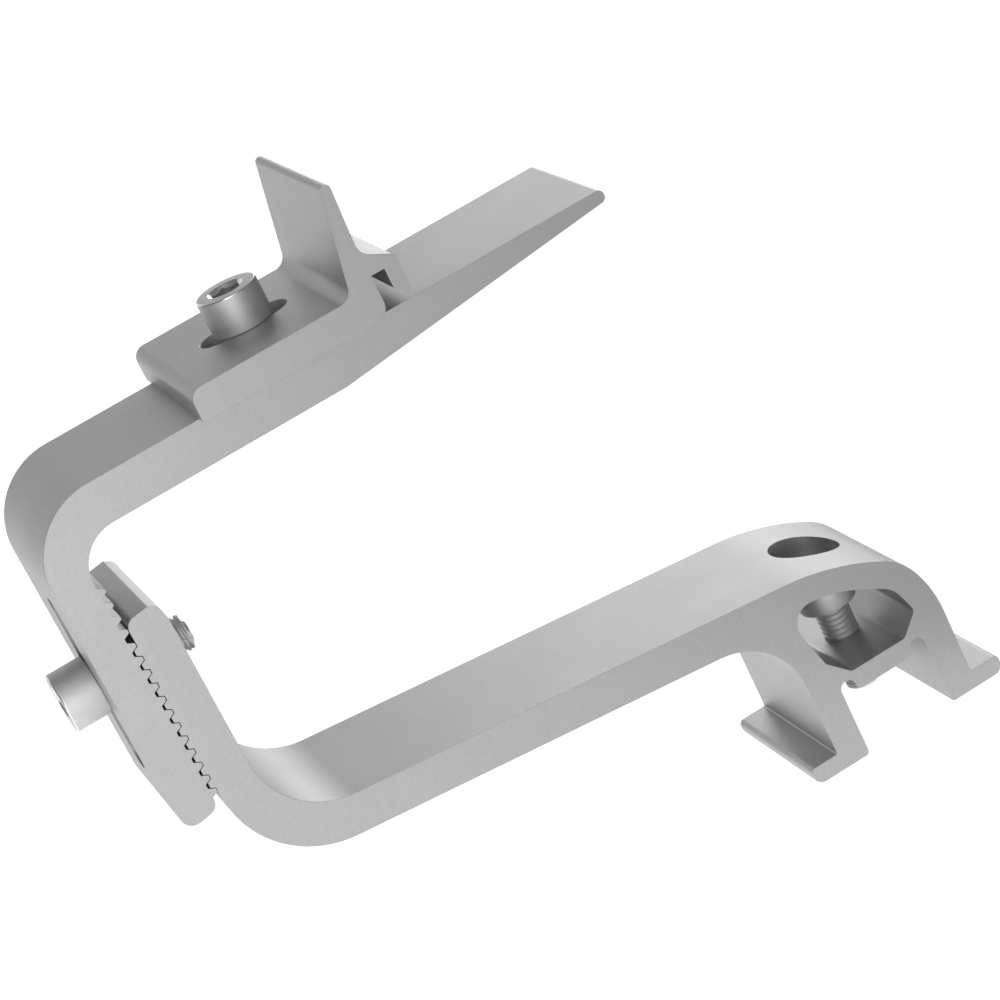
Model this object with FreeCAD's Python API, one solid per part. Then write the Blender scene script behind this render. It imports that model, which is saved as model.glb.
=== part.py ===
import FreeCAD, Part
import math
import os

# Adjustable solar roof hook, in millimetres.
# Two extruded aluminium arms mesh in a tooth rack, so the hook can be set in height.
# The lower arm stands on a head with two flanged feet, which slide into a base rail,
# and its arched head holds the screw that presses on that rail.
# The upper arm carries a slotted clamp for the module rail.
# x runs along the upper arm towards its tip, y across the width, z up.
# The origin is midway between the two feet, at the height of their soles.

V = FreeCAD.Vector

# Driving dimensions of the hook as a whole
arm_width = 38.0
hook_height = 140.0
back_x = -146.2
upper_reach = 133.9

# Upper arm
upper_arm_t = 9.4
upper_leg_t = 7.8
upper_bend_outer_r = 16.0
upper_bend_inner_r = 9.0
upper_leg_end_z = 66.5
upper_leg_end_rise = 1.3
upper_leg_end_r = 2.9
upper_leg_end_inner_r = 2.4
taper_start = 69.7
taper_angle = 6.0
tip_t = 2.7
tip_r = 1.3

# Tooth rack between the two legs
tooth_pitch = 3.2
tooth_depth = 1.35
lower_tooth_depth = 1.0
tooth_tip_w = 0.9
tooth_flank_run = 0.7
tooth_tip_gap = 0.15
tooth_flank_gap = 0.03
tooth_round = 0.2
upper_first_tooth_z = 119.4
upper_rack_end_z = 71.0
lower_rack_top_z = 106.8
lower_rack_end_z = 72.5

# Lower arm
lower_leg_t = 8.0
lower_leg_top_z = 112.2
lower_leg_top_fall = 0.75
lower_leg_top_r = 2.2
ridge_in = 2.6
ridge_r = 0.5
crown_in = 0.7
crown_drop = 1.15
crown_r = 1.5
crown_side = 4.4
lower_arm_t = 8.66
lower_arm_tilt = 6.0
lower_arm_top_z = 43.2
lower_bend_outer_r = 23.0
lower_bend_inner_r = 18.0
under_arm_r = 16.0

# Head of the lower arm
leg_outer = 17.5
leg_inner = 10.85
foot_reach = 24.5
foot_t = 4.1
foot_toe_r = 1.2
foot_sole_r = 2.3
foot_heel_r = 1.0
foot_inside_r = 0.4
arch_start_x = -1.3
arch_angle = 28.8
arch_r = 56.0
shoulder_r = 13.0
flank_angle = 66.6
flank_foot_z = 25.6
flank_r = 28.0
head_wall = 6.0
flank_wall = 5.7
chamber_floor_z = 19.2
floor_under_z = 14.6
boss_half = 7.25
boss_r = 1.2
notch_top_z = 17.9
chamber_bevel = 4.6
chamber_left_top_x = -15.4
chamber_left_foot_x = -11.4
chamber_corner_r = 4.5
chamber_arch_r = 27.0
chamber_shoulder_r = 7.0
chamber_low_r = 1.5
access_bore_r = 7.45

# Screws, all M8 socket head cap screws
screw_r = 3.95
tapped_r = 4.0
slot_r = 4.4
head_r = 6.55
head_h = 8.1
head_edge = 0.3
socket_af = 6.0
socket_depth = 4.0
tip_chamfer = 0.35
clamp_screw_len = 16.0
leg_screw_len = 21.4
foot_screw_len = 21.2
foot_screw_x = 0.45
foot_screw_seat_z = 27.1
leg_slot_half = 20.9
leg_screw_z = 96.8

# Rail clamp on the upper arm
clamp_width = 46.0
clamp_screw_x = -85.85
clamp_offset = 0.05
clamp_back = 19.5
clamp_base_t = 6.8
clamp_back_r = 2.6
clamp_front = 22.8
clamp_front_r = 3.2
clamp_slot_half = 9.9
groove_w = 3.0
groove_top_z = 9.0
nose_w = 3.1
nose_tip_z = 2.5
nose_tip_w = 1.4
nose_inner_z = 4.6
nose_top_z = 10.6
nose_slope = 26.6
nose_r = 1.5
flange_top_z = 29.3
flange_top_w = 2.1
flange_lean = 10.6
flange_front_lean = 3.2
flange_set_back = 0.5
flange_root_r = 3.0
flange_nose_r = 3.2
flange_top_r = 1.0

# How far a cutter runs past the face it enters
overrun = 1.0

# Places that follow from the driving dimensions
upper_root_x = back_x + upper_leg_t
upper_tip_x = upper_root_x + tooth_depth
lower_root_x = upper_tip_x + tooth_tip_gap
lower_inner_x = lower_root_x + lower_leg_t
upper_tooth_count = int((upper_first_tooth_z - upper_rack_end_z) / tooth_pitch) + 1
teeth_above_mesh = math.ceil((upper_first_tooth_z - lower_rack_top_z) / tooth_pitch)
lower_first_tooth_z = upper_first_tooth_z - (teeth_above_mesh + 0.5) * tooth_pitch
lower_tooth_count = int((lower_first_tooth_z - lower_rack_end_z) / tooth_pitch) + 1
tilt = math.tan(math.radians(lower_arm_tilt))
clamp_slot_x = clamp_screw_x + clamp_offset
clamp_back_x = clamp_slot_x - clamp_back
clamp_front_x = clamp_slot_x + clamp_front


def rounded_outline(corners):
    """Closed outline in the xz plane from corners (x, z, radius), each rounded by a tangent arc."""
    count = len(corners)
    edges = []
    ends = []
    for i in range(count):
        x, z, r = corners[i]
        here = V(x, 0, z)
        before = V(corners[i - 1][0], 0, corners[i - 1][1])
        after = V(corners[(i + 1) % count][0], 0, corners[(i + 1) % count][1])
        back = (before - here).normalize()
        ahead = (after - here).normalize()
        if r == 0:
            ends.append((here, here, None))
            continue
        half = back.getAngle(ahead) / 2
        run = r / math.tan(half)
        middle = (back + ahead).normalize() * (r / math.sin(half) - r)
        ends.append((here + back * run, here + ahead * run, here + middle))
    for i in range(count):
        start, stop, middle = ends[i]
        if middle is not None:
            edges.append(Part.Arc(start, middle, stop).toShape())
        following = ends[(i + 1) % count][0]
        if stop.distanceToPoint(following) > 1e-6:
            edges.append(Part.LineSegment(stop, following).toShape())
    return Part.Wire(edges)


def extrusion(corners, width):
    """Profile drawn in the xz plane, extruded across the width and centred on y = 0."""
    face = Part.Face(rounded_outline(corners))
    face.translate(V(0, -width / 2, 0))
    return face.extrude(V(0, width, 0))


def cylinder(r, length, foot, axis):
    return Part.makeCylinder(r, length, foot, axis)


def tooth_corners(root_x, depth, first_z, count):
    """Corners of a rack, listed downwards; a positive depth points the teeth towards +x."""
    root_half = tooth_tip_w / 2 + tooth_flank_run - tooth_flank_gap
    tip_half = root_half - tooth_flank_run * abs(depth) / tooth_depth
    corners = []
    for i in range(count):
        z = first_z - i * tooth_pitch
        corners.append((root_x, z + root_half, tooth_round))
        corners.append((root_x + depth, z + tip_half, tooth_round))
        corners.append((root_x + depth, z - tip_half, tooth_round))
        corners.append((root_x, z - root_half, tooth_round))
    return corners


def on_lower_top(x, below=0.0):
    """Height of the lower arm's sloping top, or of the line that lies below it by a thickness."""
    return lower_arm_top_z - tilt * x - below / math.cos(math.radians(lower_arm_tilt))


def crossing(first, second):
    """Corner where two lines (x, z, fall in degrees towards +x) meet."""
    a, b = [math.radians(line[2]) for line in (first, second)]
    reach_a = math.sin(a) * first[0] + math.cos(a) * first[1]
    reach_b = math.sin(b) * second[0] + math.cos(b) * second[1]
    x = (math.cos(a) * reach_b - math.cos(b) * reach_a) / math.sin(b - a)
    z = (math.sin(b) * reach_a - math.sin(a) * reach_b) / math.sin(b - a)
    return x, z


def arch_lines(wall, side_wall):
    """Top, arch and flank of the head, moved inward by the walls that they carry."""
    lines = [(0, lower_arm_top_z, lower_arm_tilt, wall),
             (arch_start_x, on_lower_top(arch_start_x), arch_angle, wall),
             (leg_outer, flank_foot_z, flank_angle, side_wall)]
    moved = []
    for x, z, fall, inward in lines:
        slope = math.radians(fall)
        moved.append((x - inward * math.sin(slope), z - inward * math.cos(slope), fall))
    return moved


def upper_arm():
    """Toothed outer leg, large bend and straight arm that thins to a rounded tip."""
    under_z = hook_height - upper_arm_t
    tip_x = back_x + upper_reach
    kink_x = back_x + taper_start
    tip_under_z = under_z + (tip_x - kink_x) * math.tan(math.radians(taper_angle))
    corners = [(back_x, upper_leg_end_z, upper_leg_end_r), (back_x, hook_height, upper_bend_outer_r),
               (tip_x, hook_height, tip_r), (tip_x, tip_under_z, tip_r),
               (kink_x, under_z, 0), (upper_root_x, under_z, upper_bend_inner_r)]
    corners += tooth_corners(upper_root_x, tooth_depth, upper_first_tooth_z, upper_tooth_count)
    corners.append((upper_root_x, upper_leg_end_z + upper_leg_end_rise, upper_leg_end_inner_r))
    arm = extrusion(corners, arm_width)
    slot_depth = upper_leg_t + tooth_depth + 2 * overrun
    ends = leg_slot_half - slot_r
    middle = V(back_x - overrun, 0, leg_screw_z)
    slot = Part.makeBox(slot_depth, 2 * slot_r, 2 * ends, middle - V(0, slot_r, ends))
    slot = slot.fuse(cylinder(slot_r, slot_depth, middle + V(0, 0, ends), V(1, 0, 0)))
    slot = slot.fuse(cylinder(slot_r, slot_depth, middle - V(0, 0, ends), V(1, 0, 0)))
    tapped = cylinder(tapped_r, upper_arm_t + 2 * overrun,
                      V(clamp_screw_x, 0, under_z - overrun), V(0, 0, 1))
    return arm.cut(slot).cut(tapped)


def chamber():
    """Room in the head for the foot screw, with walls that follow the arch outside."""
    right_x = leg_outer - head_wall
    top_left_z = on_lower_top(chamber_left_top_x, head_wall)
    top, arch, flank = arch_lines(head_wall, flank_wall)
    corners = [(chamber_left_top_x, top_left_z, chamber_corner_r),
               (*crossing(top, arch), chamber_arch_r), (*crossing(arch, flank), chamber_shoulder_r),
               (right_x, chamber_floor_z + chamber_bevel, chamber_low_r),
               (right_x - chamber_bevel, chamber_floor_z, chamber_low_r),
               (chamber_left_foot_x + chamber_bevel, chamber_floor_z, chamber_low_r),
               (chamber_left_foot_x, chamber_floor_z + chamber_bevel, chamber_low_r)]
    return extrusion(corners, arm_width + 2 * overrun)


def lower_arm():
    """Toothed inner leg, sloping arm and arched head on two outward feet."""
    notch_r = (leg_inner - boss_half) / 2
    leg_top = lower_leg_top_z
    top, arch, flank = arch_lines(0, 0)
    corners = [(lower_inner_x, on_lower_top(lower_inner_x), lower_bend_inner_r),
               (*crossing(top, arch), arch_r), (*crossing(arch, flank), shoulder_r),
               (leg_outer, flank_foot_z, flank_r)]
    foot = [(leg_outer, foot_t, foot_inside_r), (foot_reach, foot_t, foot_toe_r),
            (foot_reach, 0, foot_sole_r), (leg_inner, 0, foot_heel_r),
            (leg_inner, notch_top_z, notch_r), (boss_half, notch_top_z, notch_r),
            (boss_half, floor_under_z, boss_r)]
    corners += foot
    corners += [(-x, z, r) for x, z, r in reversed(foot)]
    corners += [(-leg_outer, on_lower_top(-leg_outer, lower_arm_t), under_arm_r),
                (lower_root_x, on_lower_top(lower_root_x, lower_arm_t), lower_bend_outer_r)]
    corners += reversed(tooth_corners(lower_root_x, -lower_tooth_depth, lower_first_tooth_z,
                                      lower_tooth_count))
    corners += [(lower_root_x, leg_top - lower_leg_top_fall, lower_leg_top_r),
                (lower_inner_x - ridge_in, leg_top, ridge_r),
                (lower_inner_x - crown_in, leg_top - crown_drop, crown_r),
                (lower_inner_x, leg_top - crown_side, 0)]
    arm = extrusion(corners, arm_width).cut(chamber())
    leg_hole = cylinder(tapped_r, lower_leg_t + tooth_depth + 2 * overrun,
                        V(lower_root_x - tooth_depth - overrun, 0, leg_screw_z), V(1, 0, 0))
    floor_hole = cylinder(tapped_r, foot_screw_seat_z, V(foot_screw_x, 0, 0), V(0, 0, 1))
    access = cylinder(access_bore_r, hook_height / 2,
                      V(foot_screw_x, 0, foot_screw_seat_z), V(0, 0, 1))
    return arm.cut(leg_hole).cut(floor_hole).cut(access)


def rail_clamp():
    """Slotted base with a leaning flange, and a nose that grips the edge of a module rail."""
    z0 = hook_height
    flange_front = math.tan(math.radians(flange_front_lean))
    front_x = clamp_front_x - flange_set_back
    top_x = front_x + (flange_top_z - groove_top_z) * flange_front
    lean = math.tan(math.radians(flange_lean))
    root_x = top_x - flange_top_w - (flange_top_z - clamp_base_t) * lean
    nose_x = clamp_front_x + groove_w + nose_w
    nose_rise = math.tan(math.radians(nose_slope))
    nose_root_z = nose_top_z + (nose_x - front_x) * nose_rise
    nose_root_x = front_x + (nose_root_z - groove_top_z) * flange_front
    corners = [(clamp_back_x, z0, 0), (clamp_back_x, z0 + clamp_base_t, clamp_back_r),
               (root_x, z0 + clamp_base_t, flange_root_r),
               (top_x - flange_top_w, z0 + flange_top_z, flange_top_r),
               (top_x, z0 + flange_top_z, flange_top_r),
               (nose_root_x, z0 + nose_root_z, flange_nose_r),
               (nose_x, z0 + nose_top_z, nose_r), (nose_x, z0 + nose_tip_z, nose_tip_w / 2),
               (nose_x - nose_tip_w, z0 + nose_tip_z, 0),
               (clamp_front_x + groove_w, z0 + nose_inner_z, 0),
               (clamp_front_x + groove_w, z0 + groove_top_z, 0),
               (clamp_front_x, z0 + groove_top_z, 0), (clamp_front_x, z0, clamp_front_r)]
    clamp = extrusion(corners, clamp_width)
    ends = clamp_slot_half - slot_r
    middle = V(clamp_slot_x, 0, z0 - overrun)
    slot_h = clamp_base_t + 2 * overrun
    slot = Part.makeBox(2 * ends, 2 * slot_r, slot_h, middle - V(ends, slot_r, 0))
    slot = slot.fuse(cylinder(slot_r, slot_h, middle + V(ends, 0, 0), V(0, 0, 1)))
    slot = slot.fuse(cylinder(slot_r, slot_h, middle - V(ends, 0, 0), V(0, 0, 1)))
    return clamp.cut(slot)


def cap_screw(length, seat, axis):
    """M8 socket head cap screw; the seat is the centre of the head's underside."""
    head = Part.makeCylinder(head_r, head_h)
    rims = [edge for edge in head.Edges if edge.Closed]
    top_rim = max(rims, key=lambda edge: edge.CenterOfMass.z)
    head = head.makeChamfer(head_edge, [top_rim])
    corner_r = socket_af / 2 / math.cos(math.pi / 6)
    points = []
    for i in range(7):
        angle = i * math.pi / 3
        points.append(V(corner_r * math.cos(angle), corner_r * math.sin(angle), head_h - socket_depth))
    socket = Part.Face(Part.makePolygon(points)).extrude(V(0, 0, socket_depth + overrun))
    shank = cylinder(screw_r, length - tip_chamfer, V(0, 0, 0), V(0, 0, -1))
    tip = Part.makeCone(screw_r, screw_r - tip_chamfer, tip_chamfer,
                        V(0, 0, tip_chamfer - length), V(0, 0, -1))
    screw = head.cut(socket).fuse(shank).fuse(tip).removeSplitter()
    screw.Placement = FreeCAD.Placement(seat, FreeCAD.Rotation(V(0, 0, 1), axis))
    return screw


def save(name, shape):
    solid = shape.removeSplitter()
    solid.exportStep("parts/" + name + ".step")
    print(name, len(solid.Solids), "solid", round(solid.Volume, 1), "mm3", solid.isValid())


os.makedirs("parts", exist_ok=True)
save("upper_arm", upper_arm())
save("lower_arm", lower_arm())
save("rail_clamp", rail_clamp())
save("clamp_screw", cap_screw(clamp_screw_len, V(clamp_screw_x, 0, hook_height + clamp_base_t), V(0, 0, 1)))
save("leg_screw", cap_screw(leg_screw_len, V(back_x, 0, leg_screw_z), V(-1, 0, 0)))
save("foot_screw", cap_screw(foot_screw_len, V(foot_screw_x, 0, foot_screw_seat_z), V(0, 0, 1)))
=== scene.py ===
import math

import bpy
from mathutils import Matrix, Vector


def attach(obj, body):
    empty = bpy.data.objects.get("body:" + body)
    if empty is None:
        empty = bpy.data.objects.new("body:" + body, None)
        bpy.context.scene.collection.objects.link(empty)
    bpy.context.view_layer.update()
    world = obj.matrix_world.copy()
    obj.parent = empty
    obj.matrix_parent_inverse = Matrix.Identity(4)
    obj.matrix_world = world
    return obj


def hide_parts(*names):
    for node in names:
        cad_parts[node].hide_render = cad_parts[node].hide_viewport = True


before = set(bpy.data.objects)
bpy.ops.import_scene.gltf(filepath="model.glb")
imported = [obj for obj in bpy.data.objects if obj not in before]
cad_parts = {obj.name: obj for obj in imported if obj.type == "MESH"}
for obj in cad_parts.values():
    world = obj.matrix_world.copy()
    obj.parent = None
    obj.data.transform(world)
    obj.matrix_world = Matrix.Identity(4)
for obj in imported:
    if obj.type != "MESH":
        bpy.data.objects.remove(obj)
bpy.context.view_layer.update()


# The photographer's place. A long lens looks down on the hook from its front left,
# and the camera is rolled, so the hook hangs across the frame as it would on a roof slope.
camera_data = bpy.data.cameras.new("camera")
camera_data.sensor_width = 36.0
camera_data.lens = 116.99
camera_data.shift_x = -0.0526
camera_data.shift_y = 0.0553
camera_data.clip_start = 0.01
camera_data.clip_end = 20.0
camera = bpy.data.objects.new("camera", camera_data)
camera.location = (-0.18606, -0.61922, 0.32418)
camera.rotation_euler = [math.radians(a) for a in (65.8967, 24.2201, -22.7784)]
bpy.context.scene.collection.objects.link(camera)
bpy.context.scene.camera = camera
bpy.context.scene.view_settings.view_transform = "Standard"


# The studio. Floor and background are one white sweep, which shows in the metal too.
# Dark cloth on three sides and above, a grey cloth behind with two windows beside it, and a
# grey card on the floor show only in the metal, and give it its darks and its lights.
mm = 0.001
white_rays = ("Is Camera Ray", "Is Glossy Ray", "Is Transmission Ray")
room_glow = 0.5
floor_glow = 0.8
dark_cloth_glow = 0.16
back_cloth_glow = 0.77
card_glow = 0.47
pale, grey, dark = 0.8, 0.4, 0.05
floor_size = 6.0
floor_drop = 0.4 * mm
card_size = 0.9
card_edge = Vector((18, -48, -0.2)) * mm
card_turn = math.radians(240.4)
tent_size = 1.5
hook_middle = Vector((-60, 0, 50)) * mm
back_y_mm = 650


def calculate(nodes, links, operation, *terms):
    """A Math node's result over terms that are sockets or plain numbers."""
    node = nodes.new("ShaderNodeMath")
    node.operation = operation
    for socket, term in zip(node.inputs, terms):
        if isinstance(term, bpy.types.NodeSocket):
            links.new(term, socket)
        else:
            socket.default_value = term
    return node.outputs[0]


def any_ray(nodes, links, kinds):
    """1 where the ray is of one of the kinds, as the Light Path node names them."""
    path = nodes.new("ShaderNodeLightPath")
    total = path.outputs[kinds[0]]
    for kind in kinds[1:]:
        total = calculate(nodes, links, "MAXIMUM", total, path.outputs[kind])
    return total


def matt(name, colour, glow):
    """Matt board or cloth of one grey, with a glow of its own."""
    material = bpy.data.materials.new(name)
    material.use_nodes = True
    shader = material.node_tree.nodes["Principled BSDF"]
    shader.inputs["Base Color"].default_value = (colour, colour, colour, 1)
    shader.inputs["Roughness"].default_value = 0.9
    shader.inputs["Specular IOR Level"].default_value = 0.0
    shader.inputs["Emission Color"].default_value = (1, 1, 1, 1)
    shader.inputs["Emission Strength"].default_value = glow
    material.cycles.emission_sampling = "NONE"
    return material


def edit_faces(piece, wanted):
    """Leaves the active piece in edit mode, with the faces selected whose normals are wanted."""
    bpy.ops.object.mode_set(mode="EDIT")
    bpy.ops.mesh.select_all(action="DESELECT")
    bpy.ops.object.mode_set(mode="OBJECT")
    for face in piece.data.polygons:
        face.select = wanted(face.normal)
    bpy.ops.object.mode_set(mode="EDIT")


# The world looks white, directly and in the metal, and lights the rest with room_glow.
world = bpy.data.worlds.new("sweep")
bpy.context.scene.world = world
world.use_nodes = True
nodes, links = world.node_tree.nodes, world.node_tree.links
nodes.clear()
choose = nodes.new("ShaderNodeMixShader")
links.new(any_ray(nodes, links, white_rays), choose.inputs["Fac"])
for socket, strength in ((1, room_glow), (2, 1.0)):
    background = nodes.new("ShaderNodeBackground")
    background.inputs["Color"].default_value = (1, 1, 1, 1)
    background.inputs["Strength"].default_value = strength
    links.new(background.outputs[0], choose.inputs[socket])
out = nodes.new("ShaderNodeOutputWorld")
links.new(choose.outputs[0], out.inputs["Surface"])

bpy.ops.object.select_all(action="DESELECT")
bpy.ops.mesh.primitive_plane_add(size=floor_size, location=(0, 0, -floor_drop))
floor = bpy.context.object
floor.name = "floor"
white = matt("pale_floor", pale, 0.0)
nodes, links = white.node_tree.nodes, white.node_tree.links
glow = calculate(nodes, links, "MULTIPLY", any_ray(nodes, links, white_rays), floor_glow)
links.new(glow, nodes["Principled BSDF"].inputs["Emission Strength"])
floor.data.materials.append(white)

# The card's long edge runs just outside the right edge of the picture.
card_outward = Vector((-math.sin(card_turn), math.cos(card_turn), 0))
bpy.ops.mesh.primitive_plane_add(size=card_size, rotation=(0, 0, card_turn),
                                 location=card_edge + card_outward * card_size / 2)
card = bpy.context.object
card.name = "grey_card"
card.visible_camera = False
card.data.materials.append(matt("grey_card", grey, card_glow))

# The dark cloth is a box that is open behind and below.
bpy.ops.mesh.primitive_cube_add(size=tent_size, location=hook_middle)
tent = bpy.context.object
tent.name = "dark_cloth"
tent.visible_camera = False
edit_faces(tent, lambda normal: normal.y > 0.5 or normal.z < -0.5)
bpy.ops.mesh.delete(type="FACE")
bpy.ops.object.mode_set(mode="OBJECT")
tent.data.materials.append(matt("dark_cloth", dark, dark_cloth_glow))

# The cloth behind hangs above the picture, left of the windows and over them. Its two
# lengths are given in mm, as left, right, low and high.
back_material = matt("back_cloth", dark, back_cloth_glow)
for left, right, low, high in ((-800, 80, 150, 800), (80, 690, 400, 800)):
    cloth_middle = Vector(((left + right) / 2, back_y_mm, (low + high) / 2)) * mm
    bpy.ops.mesh.primitive_plane_add(size=1.0, rotation=(math.pi / 2, 0, 0),
                                     location=cloth_middle)
    cloth = bpy.context.object
    cloth.name = "back_cloth"
    cloth.visible_camera = False
    cloth.scale = ((right - left) * mm, (high - low) * mm, 1)
    cloth.data.materials.append(back_material)

# The lamps: place in mm, the point each looks at, width, height, and how much brighter it
# is than what is behind it, where 1 is the white sweep.
for name, place, aim, width, height, level in (
        ("window", (190, back_y_mm, 275), Vector((190, 0, 275)) * mm, 0.22, 0.25, 1.55),
        ("high_window", (495, back_y_mm, 337.5), Vector((495, 0, 337.5)) * mm, 0.39, 0.125, 6.6),
        ("key", (-241, -558, 175), hook_middle, 0.30, 0.30, 3.6),
        ("over_front", (-110, -350, 500), hook_middle, 0.40, 0.40, 0.8)):
    lamp_data = bpy.data.lights.new(name, "AREA")
    lamp_data.shape = "RECTANGLE"
    lamp_data.size = width
    lamp_data.size_y = height
    lamp_data.energy = level * math.pi * width * height
    lamp = bpy.data.objects.new(name, lamp_data)
    lamp.location = Vector(place) * mm
    lamp.rotation_euler = (aim - lamp.location).to_track_quat("-Z", "Y").to_euler()
    lamp.visible_camera = False
    bpy.context.scene.collection.objects.link(lamp)


# The upper arm. It is one length of extruded aluminium with a toothed leg, sawn off across
# the profile and left bare. A slot for the height screw is milled through the leg, and the
# clamp's screw is tapped into the arm. The sawn edges are rubbed down.
satin_roughness = 0.5
satin_colour = 0.47
rubbed_width = 0.04 * mm
milled_within = 6 * mm
weld = 0.001 * mm
flat_within = math.radians(0.5)
sharp_from = math.radians(50)
smooth_under = math.radians(32)


def remap(nodes, links, value, given, wanted):
    """Stretches the range given to the range wanted, and stops at both its ends."""
    node = nodes.new("ShaderNodeMapRange")
    limits = (*given, *wanted)
    for socket, limit in zip(("From Min", "From Max", "To Min", "To Max"), limits):
        node.inputs[socket].default_value = limit
    links.new(value, node.inputs["Value"])
    return node.outputs[0]


def bare_metal(name):
    """A metal to be given its colour, its roughness and its surface."""
    material = bpy.data.materials.new(name)
    material.use_nodes = True
    nodes = material.node_tree.nodes
    nodes["Principled BSDF"].inputs["Metallic"].default_value = 1.0
    return material, nodes, material.node_tree.links


def emboss(nodes, links, height, strength, distance):
    """Lets the height disturb the metal's normals."""
    bump = nodes.new("ShaderNodeBump")
    bump.inputs["Strength"].default_value = strength
    bump.inputs["Distance"].default_value = distance
    links.new(height, bump.inputs["Height"])
    links.new(bump.outputs[0], nodes["Principled BSDF"].inputs["Normal"])


def grain_group():
    """Fine speckle, faint die lines across the width, saw marks and slow clouding."""
    group = bpy.data.node_groups.new("aluminium_grain", "ShaderNodeTree")
    for name in ("Speckle", "Die Lines", "Saw Marks", "Clouding"):
        group.interface.new_socket(name, in_out="INPUT", socket_type="NodeSocketFloat")
    for name in ("Tone", "Height"):
        group.interface.new_socket(name, in_out="OUTPUT", socket_type="NodeSocketFloat")
    nodes, links = group.nodes, group.links
    start = nodes.new("NodeGroupInput")
    end = nodes.new("NodeGroupOutput")
    coords = nodes.new("ShaderNodeTexCoord")

    def layer(name, scale, stretch=(1, 1, 1), detail=2.0, mask=1.0):
        """Noise about zero, as strong as the input of its name says, where the mask is 1."""
        mapping = nodes.new("ShaderNodeMapping")
        mapping.inputs["Scale"].default_value = stretch
        links.new(coords.outputs["Object"], mapping.inputs["Vector"])
        texture = nodes.new("ShaderNodeTexNoise")
        texture.inputs["Scale"].default_value = scale
        texture.inputs["Detail"].default_value = detail
        links.new(mapping.outputs[0], texture.inputs["Vector"])
        centred = calculate(nodes, links, "SUBTRACT", texture.outputs["Fac"], 0.5)
        strength = calculate(nodes, links, "MULTIPLY", start.outputs[name], mask)
        return calculate(nodes, links, "MULTIPLY", centred, strength)

    # 1 on the sawn faces, which look along y, and 0 on the faces that the die drew
    facing = nodes.new("ShaderNodeSeparateXYZ")
    links.new(coords.outputs["Normal"], facing.inputs[0])
    along_y = calculate(nodes, links, "ABSOLUTE", facing.outputs["Y"])
    sawn = remap(nodes, links, along_y, (0.8, 0.95), (0.0, 1.0))
    drawn = calculate(nodes, links, "SUBTRACT", 1.0, sawn)

    lines = layer("Die Lines", 3000.0, stretch=(1, 0.02, 1), mask=drawn)
    marks = layer("Saw Marks", 1800.0, stretch=(1, 1, 0.03), mask=sawn)
    fine = calculate(nodes, links, "ADD", layer("Speckle", 2600.0),
                     calculate(nodes, links, "ADD", lines, marks))
    clouds = layer("Clouding", 70.0, detail=3.0)
    links.new(calculate(nodes, links, "ADD", fine, clouds), end.inputs["Tone"])
    links.new(fine, end.inputs["Height"])
    return group


aluminium_grain = grain_group()


def aluminium(name, colour, roughness, bump_strength):
    """Bare aluminium whose grain shifts its colour, its gloss and its surface a little."""
    material, nodes, links = bare_metal(name)
    grain = nodes.new("ShaderNodeGroup")
    grain.node_tree = aluminium_grain
    for socket, strength in (("Speckle", 1.0), ("Die Lines", 0.3),
                             ("Saw Marks", 0.25), ("Clouding", 0.3)):
        grain.inputs[socket].default_value = strength
    for socket, ends in (("Base Color", (colour - 0.04, colour + 0.04)),
                         ("Roughness", (roughness + 0.05, roughness - 0.05))):
        spread = remap(nodes, links, grain.outputs["Tone"], (-0.5, 0.5), ends)
        links.new(spread, nodes["Principled BSDF"].inputs[socket])
    emboss(nodes, links, grain.outputs["Height"], bump_strength, 0.02 * mm)
    return material


satin_aluminium = aluminium("satin_aluminium", satin_colour, satin_roughness,
                            bump_strength=0.1)
# The rubbed edges are glossier than the faces, and also painted lighter: a painted highlight
# along every broken edge.
rubbed_edge_painted_highlight = aluminium("rubbed_edge_painted_highlight", satin_colour + 0.08, satin_roughness - 0.12,
                             bump_strength=0.05)


def apply_modifiers(piece):
    """Makes the piece active and applies its modifiers from first to last."""
    bpy.context.view_layer.objects.active = piece
    for modifier in list(piece.modifiers):
        bpy.ops.object.modifier_apply(modifier=modifier.name)


def rubbed_down(node_name, hole_walls):
    """The CAD node's skin joined up, with its sharp edges broken, glossier than its faces and
    painted lighter as a highlight.

    What the die drew and the saw cut reaches the full width, so a face that keeps to the
    middle is the wall of a slot or a hole.
    """
    bpy.ops.object.select_all(action="DESELECT")
    piece = bpy.data.objects.new(node_name + "_metal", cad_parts[node_name].data.copy())
    bpy.context.scene.collection.objects.link(piece)
    piece.select_set(True)
    bpy.context.view_layer.objects.active = piece
    bpy.ops.mesh.customdata_custom_splitnormals_clear()
    bpy.ops.object.mode_set(mode="EDIT")
    bpy.ops.mesh.select_all(action="SELECT")
    bpy.ops.mesh.remove_doubles(threshold=weld)
    bpy.ops.mesh.dissolve_limited(angle_limit=flat_within)
    bpy.ops.object.mode_set(mode="OBJECT")
    piece.data.materials.clear()
    for material in (satin_aluminium, rubbed_edge_painted_highlight, hole_walls):
        piece.data.materials.append(material)
    vertices = piece.data.vertices
    for polygon in piece.data.polygons:
        in_the_middle = all(abs(vertices[v].co.y) < milled_within for v in polygon.vertices)
        polygon.material_index = 2 if in_the_middle else 0
    edges = piece.modifiers.new("rubbed edges", "BEVEL")
    edges.width = rubbed_width
    edges.segments = 1
    edges.limit_method = "ANGLE"
    edges.angle_limit = sharp_from
    edges.use_clamp_overlap = False
    edges.material = 1
    apply_modifiers(piece)
    bpy.ops.object.shade_smooth_by_angle(angle=smooth_under)
    even = piece.modifiers.new("even faces", "WEIGHTED_NORMAL")
    even.keep_sharp = True
    apply_modifiers(piece)
    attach(piece, node_name)
    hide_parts(node_name)


rubbed_down("upper_arm", satin_aluminium)


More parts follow.
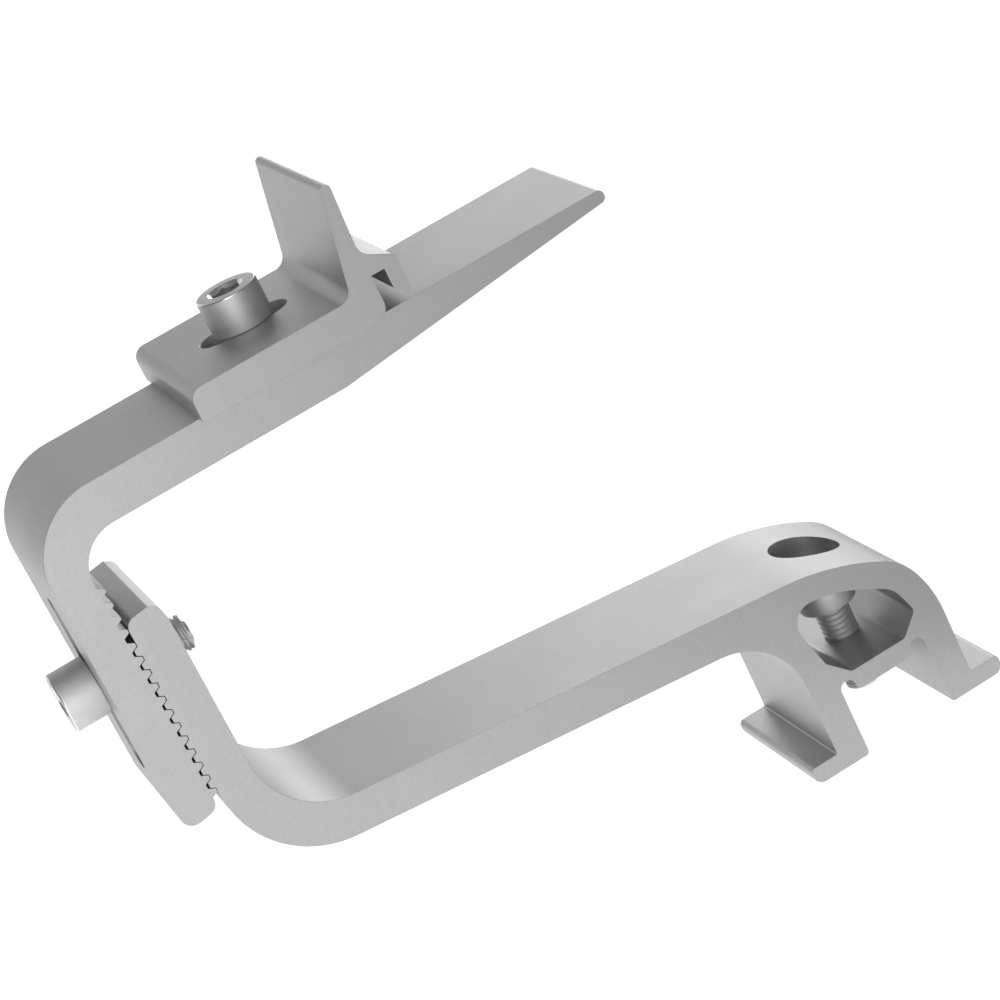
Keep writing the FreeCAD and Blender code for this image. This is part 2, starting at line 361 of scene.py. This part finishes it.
# The lower arm. It is extruded as the upper one is, with an inner leg whose teeth mesh with
# the outer ones, a sloping arm, and an arched head with a chamber, on two flanged feet.
# The hole for the key and the tapped floor of the chamber are drilled after it is sawn off.
rubbed_down("lower_arm", satin_aluminium)


# The rail clamp. It is a shorter but wider cut of its own extrusion, with a milled slot that
# lets it slide under its screw, a leaning flange and a nose that grips the module rail.
# The walls of its slot get a far lighter aluminium than its faces: painted light against the
# shade inside the slot.
slot_wall_painted_light = aluminium("slot_wall_painted_light", colour=0.9, roughness=0.6,
                             bump_strength=0.05)
rubbed_down("rail_clamp", slot_wall_painted_light)


# The three screws. Each is a stainless M8 socket head cap screw, forged and turned to a satin
# finish, with a countersunk hex socket and a rolled thread up to its head. One holds the clamp
# to the upper arm, one the two legs to each other, and one presses on the base rail.
round_sides = 96
head_r = 6.55 * mm
head_h = 8.1 * mm
head_edge = 0.3 * mm
socket_corner_r = 3.0 * mm / math.cos(math.pi / 6)
socket_depth = 4.0 * mm
socket_point = 0.9 * mm
mouth_r = 3.95 * mm
mouth_over = 1.0 * mm
top_skin = 0.05 * mm
thread_r = 3.95 * mm
thread_root = 3.42 * mm
thread_depth = thread_r - thread_root
pitch = 1.25 * mm
winding_steps = 48
longest = 22.0 * mm
turns_past_end = 2
tip_r = 3.85 * mm
tip_chamfer = 0.6 * mm
tip_land = 0.4 * mm
turned_smooth_under = math.radians(28)


def stainless(name, colour, roughness):
    """Stainless steel with a slight haze in its colour and gloss, and fine scratches."""
    material, nodes, links = bare_metal(name)
    coords = nodes.new("ShaderNodeTexCoord")
    haze = nodes.new("ShaderNodeTexNoise")
    haze.inputs["Scale"].default_value = 400.0
    haze.inputs["Detail"].default_value = 3.0
    links.new(coords.outputs["Object"], haze.inputs["Vector"])
    for socket, middle in (("Base Color", colour), ("Roughness", roughness)):
        spread = remap(nodes, links, haze.outputs["Fac"], (0.3, 0.7),
                       (middle - 0.03, middle + 0.03))
        links.new(spread, nodes["Principled BSDF"].inputs[socket])
    scratches = nodes.new("ShaderNodeTexNoise")
    scratches.inputs["Scale"].default_value = 3500.0
    links.new(coords.outputs["Object"], scratches.inputs["Vector"])
    emboss(nodes, links, scratches.outputs["Fac"], 0.06, 0.01 * mm)
    return material


satin_steel = stainless("satin_steel", colour=0.70, roughness=0.62)
# A glossier steel that is also painted lighter than the satin steel, as a painted highlight.
polished_steel_painted_highlight = stainless("polished_steel_painted_highlight", colour=0.82, roughness=0.25)


def combine(piece, other, operation):
    """Booleans the other mesh into the piece, and deletes the other."""
    boolean = piece.modifiers.new("join", "BOOLEAN")
    boolean.operation = operation
    boolean.solver = "EXACT"
    boolean.object = other
    apply_modifiers(piece)
    bpy.data.objects.remove(other)


def copy_of(piece, name):
    """A second object with a mesh of its own."""
    twin = bpy.data.objects.new(name, piece.data.copy())
    bpy.context.scene.collection.objects.link(twin)
    return twin


# The head, standing on its seat: a turned blank, the hex punched into it, its mouth opened
bpy.ops.object.select_all(action="DESELECT")
bpy.ops.mesh.primitive_cylinder_add(vertices=round_sides, radius=head_r, depth=head_h,
                                    location=(0, 0, head_h / 2))
head = bpy.context.object
bpy.ops.object.transform_apply(location=True)
rounding = head.modifiers.new("edges", "BEVEL")
rounding.width = head_edge
rounding.segments = 4
rounding.limit_method = "ANGLE"
rounding.angle_limit = math.radians(60)
apply_modifiers(head)

bpy.ops.mesh.primitive_cylinder_add(vertices=6, radius=socket_corner_r, depth=2 * socket_depth,
                                    location=(0, 0, head_h))
hexagon = bpy.context.object
bpy.ops.object.transform_apply(location=True)
edit_faces(hexagon, lambda normal: normal.z < -0.5)
bpy.ops.mesh.extrude_region_move(TRANSFORM_OT_translate={"value": (0, 0, -socket_point)})
bpy.ops.mesh.merge(type="CENTER")
bpy.ops.object.mode_set(mode="OBJECT")
combine(head, hexagon, "DIFFERENCE")
bpy.ops.mesh.primitive_cone_add(vertices=round_sides, radius1=0, radius2=mouth_r + mouth_over,
                                depth=mouth_r + mouth_over,
                                location=(0, 0, head_h + (mouth_over - mouth_r) / 2))
combine(head, bpy.context.object, "DIFFERENCE")

# The thread: a rolled ridge with a flat crest, wound up past the longest screw and capped.
# Each stretch of the ridge's outline goes out by a depth and up by a share of the pitch.
bpy.ops.mesh.primitive_plane_add(size=pitch, location=(thread_root, 0, 0))
thread = bpy.context.object
bpy.ops.object.transform_apply(location=True)
bpy.ops.object.mode_set(mode="EDIT")
bpy.ops.mesh.merge(type="CENTER")
for out_by, up_by in ((0, 0.20), (thread_depth, 0.25), (0, 0.32), (-thread_depth, 0.23)):
    bpy.ops.mesh.extrude_region_move(
        TRANSFORM_OT_translate={"value": (out_by, 0, up_by * pitch)})
bpy.ops.object.mode_set(mode="OBJECT")
turns = math.ceil(longest / pitch) + 2 * turns_past_end
winding = thread.modifiers.new("helix", "SCREW")
winding.axis = "Z"
winding.angle = math.tau
winding.screw_offset = pitch
winding.iterations = turns
winding.steps = winding.render_steps = winding_steps
winding.use_merge_vertices = True
winding.merge_threshold = weld
apply_modifiers(thread)
bpy.ops.object.mode_set(mode="EDIT")
bpy.ops.mesh.select_all(action="SELECT")
bpy.ops.mesh.remove_doubles(threshold=weld)
bpy.ops.mesh.fill_holes(sides=0)
bpy.ops.mesh.normals_make_consistent(inside=False)
bpy.ops.transform.translate(value=(0, 0, turns_past_end * pitch - turns * pitch))
bpy.ops.object.mode_set(mode="OBJECT")


def cap_screw(name, node_name, length, seat, turn):
    """A screw of its own length, with its head's underside at its seat and turned about it."""
    threaded = length - tip_chamfer - tip_land / 2
    bpy.ops.object.select_all(action="DESELECT")
    bpy.ops.mesh.primitive_cylinder_add(vertices=round_sides, radius=thread_r,
                                        depth=threaded + pitch,
                                        location=(0, 0, (pitch - threaded) / 2))
    shank = bpy.context.object
    bpy.ops.object.transform_apply(location=True)
    combine(shank, copy_of(thread, "thread of " + name), "INTERSECT")
    bpy.ops.object.select_all(action="DESELECT")
    bpy.ops.mesh.primitive_cone_add(vertices=round_sides, radius1=tip_r - tip_chamfer,
                                    radius2=tip_r, depth=tip_chamfer,
                                    location=(0, 0, tip_chamfer / 2 - length))
    tip = bpy.context.object
    bpy.ops.object.transform_apply(location=True)
    edit_faces(tip, lambda normal: normal.z > 0.5)
    bpy.ops.mesh.extrude_region_move(TRANSFORM_OT_translate={"value": (0, 0, tip_land)})
    bpy.ops.object.mode_set(mode="OBJECT")
    combine(shank, tip, "UNION")
    screw = copy_of(head, name)
    combine(screw, shank, "UNION")
    bpy.ops.object.select_all(action="DESELECT")
    screw.select_set(True)
    bpy.context.view_layer.objects.active = screw
    bpy.ops.object.shade_smooth_by_angle(angle=turned_smooth_under)
    screw.data.materials.clear()
    for material in (satin_steel, polished_steel_painted_highlight):
        screw.data.materials.append(material)
    # The socket, the head's top edge and the tip take the glossier steel painted lighter: a
    # painted highlight on edge and tip, and painted light against the socket's shade.
    for polygon in screw.data.polygons:
        x, y, z = polygon.center
        out_by = math.hypot(x, y)
        in_socket = out_by < mouth_r and 0 < z < head_h - top_skin
        on_edge = out_by > head_r - head_edge and z > head_h - head_edge
        on_tip = z < tip_chamfer - length
        polygon.material_index = 1 if in_socket or on_edge or on_tip else 0
    screw.data.transform(Matrix.Translation(seat) @ turn)
    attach(screw, node_name)
    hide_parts(node_name)


upright = Matrix.Identity(4)
sideways = Matrix.Rotation(math.radians(-90), 4, "Y")
cap_screw("clamp_screw_steel", "clamp_screw", 16.0 * mm, (-85.85 * mm, 0, 146.82 * mm), upright)
cap_screw("leg_screw_steel", "leg_screw", 21.4 * mm, (-146.2 * mm, 0, 96.8 * mm), sideways)
cap_screw("foot_screw_steel", "foot_screw", 21.2 * mm, (0.45 * mm, 0, 27.1 * mm), upright)
bpy.data.objects.remove(head)
bpy.data.objects.remove(thread)
